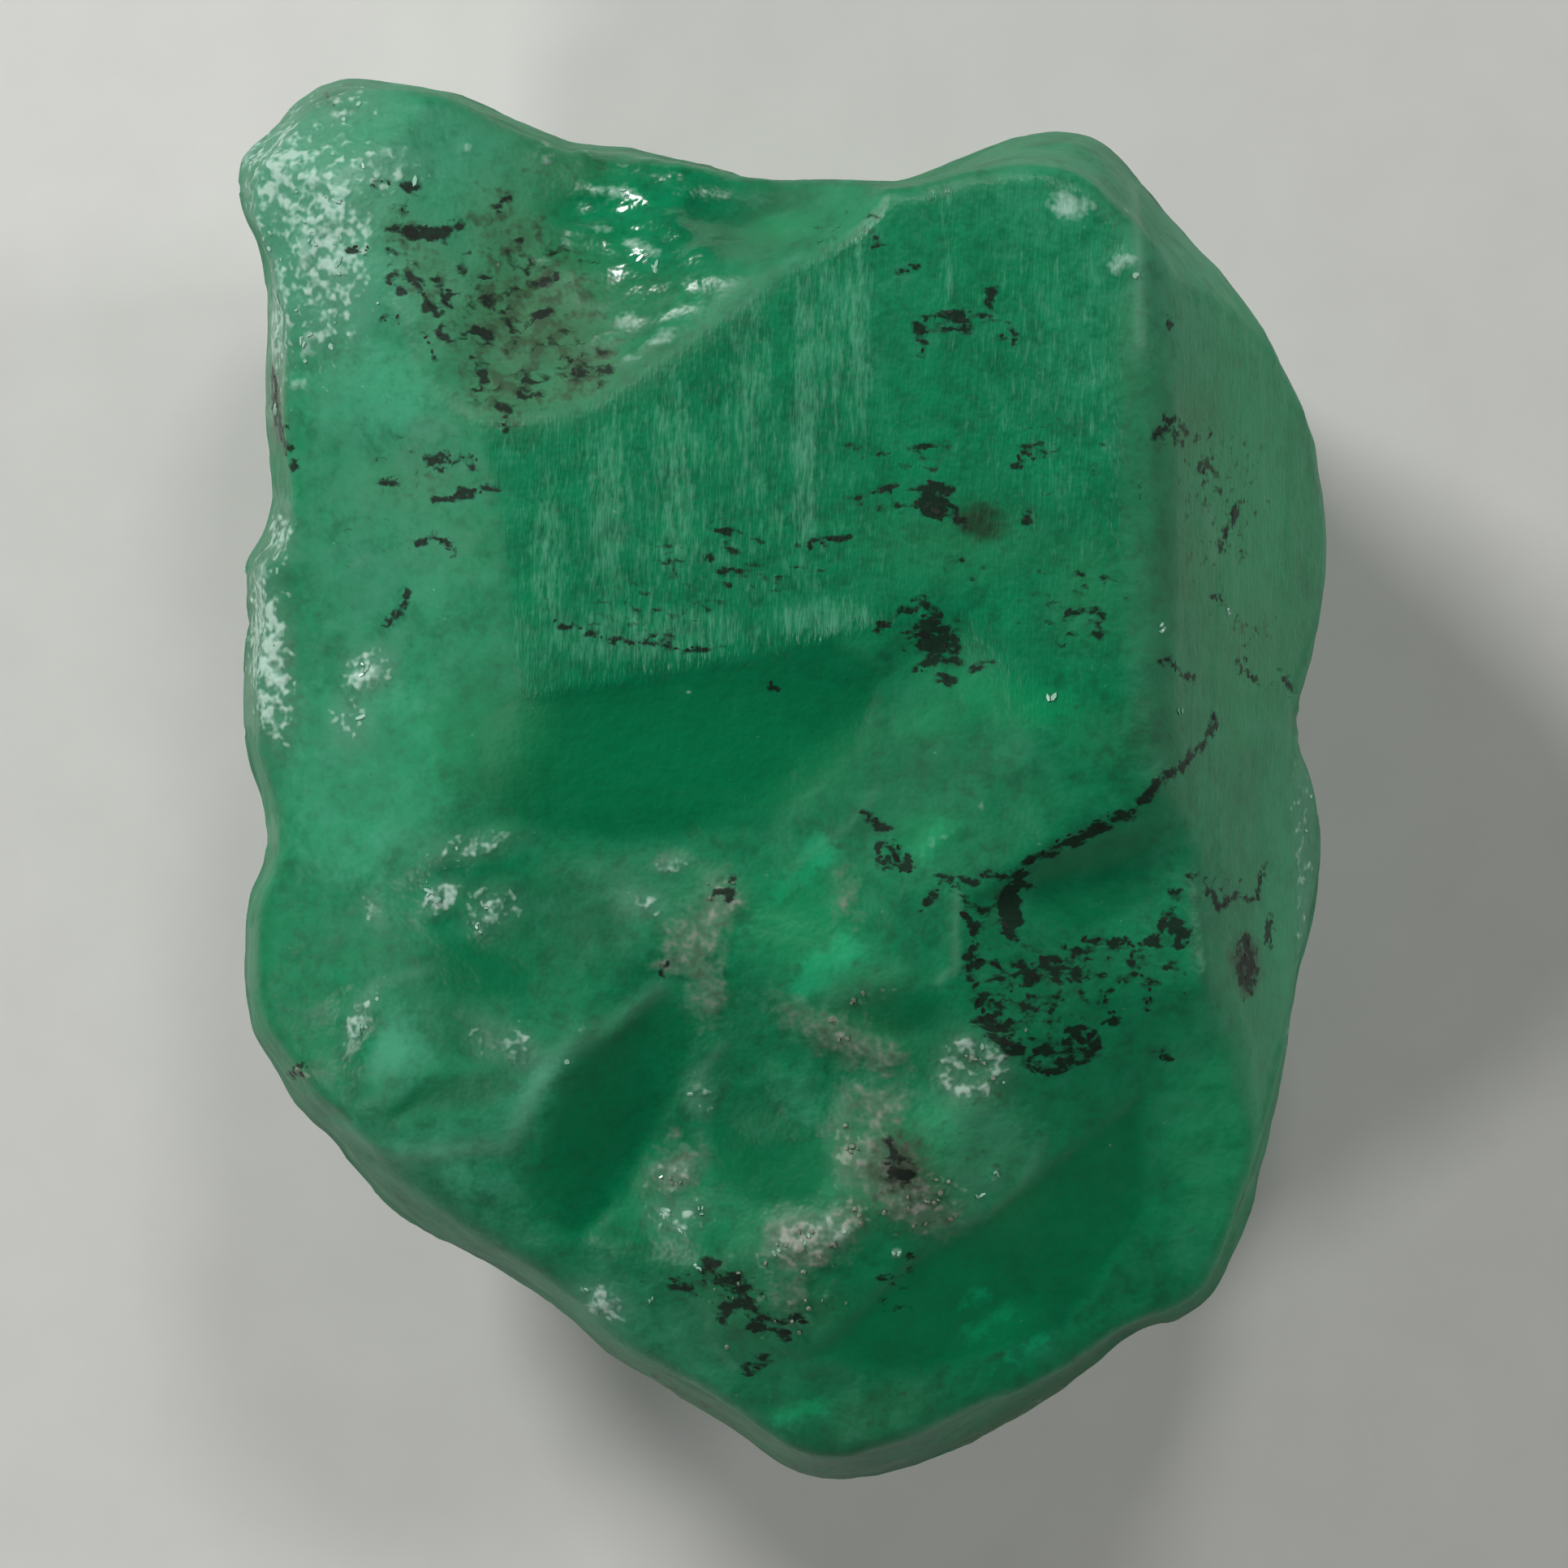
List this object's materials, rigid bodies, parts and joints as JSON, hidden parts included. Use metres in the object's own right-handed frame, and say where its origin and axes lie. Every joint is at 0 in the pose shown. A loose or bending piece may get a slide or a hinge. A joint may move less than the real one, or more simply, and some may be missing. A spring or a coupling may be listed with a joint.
{
  "type": "raw emerald crystal",
  "caption": "Rough, broken length of a six-sided green beryl crystal with growth-striated faces and shell-like fracture surfaces, lying on a flat back face.",
  "frame": {"origin": "middle of the stone's box in X and Y, at the level of the flat back growth face that it rests on", "axes": "+Y along the crystal's own long axis, towards the end with the pale horn; +Z out of the striated front growth face; +X to the right when that face is looked at"},
  "size_m": [0.0134, 0.0172, 0.009],
  "materials": {
    "emerald": "translucent deep green, glassy on the breaks, finely lined on the growth faces, frosted at the edges"
  },
  "bodies": {
    "root": {"emerald": "emerald"}
  },
  "joints": []
}
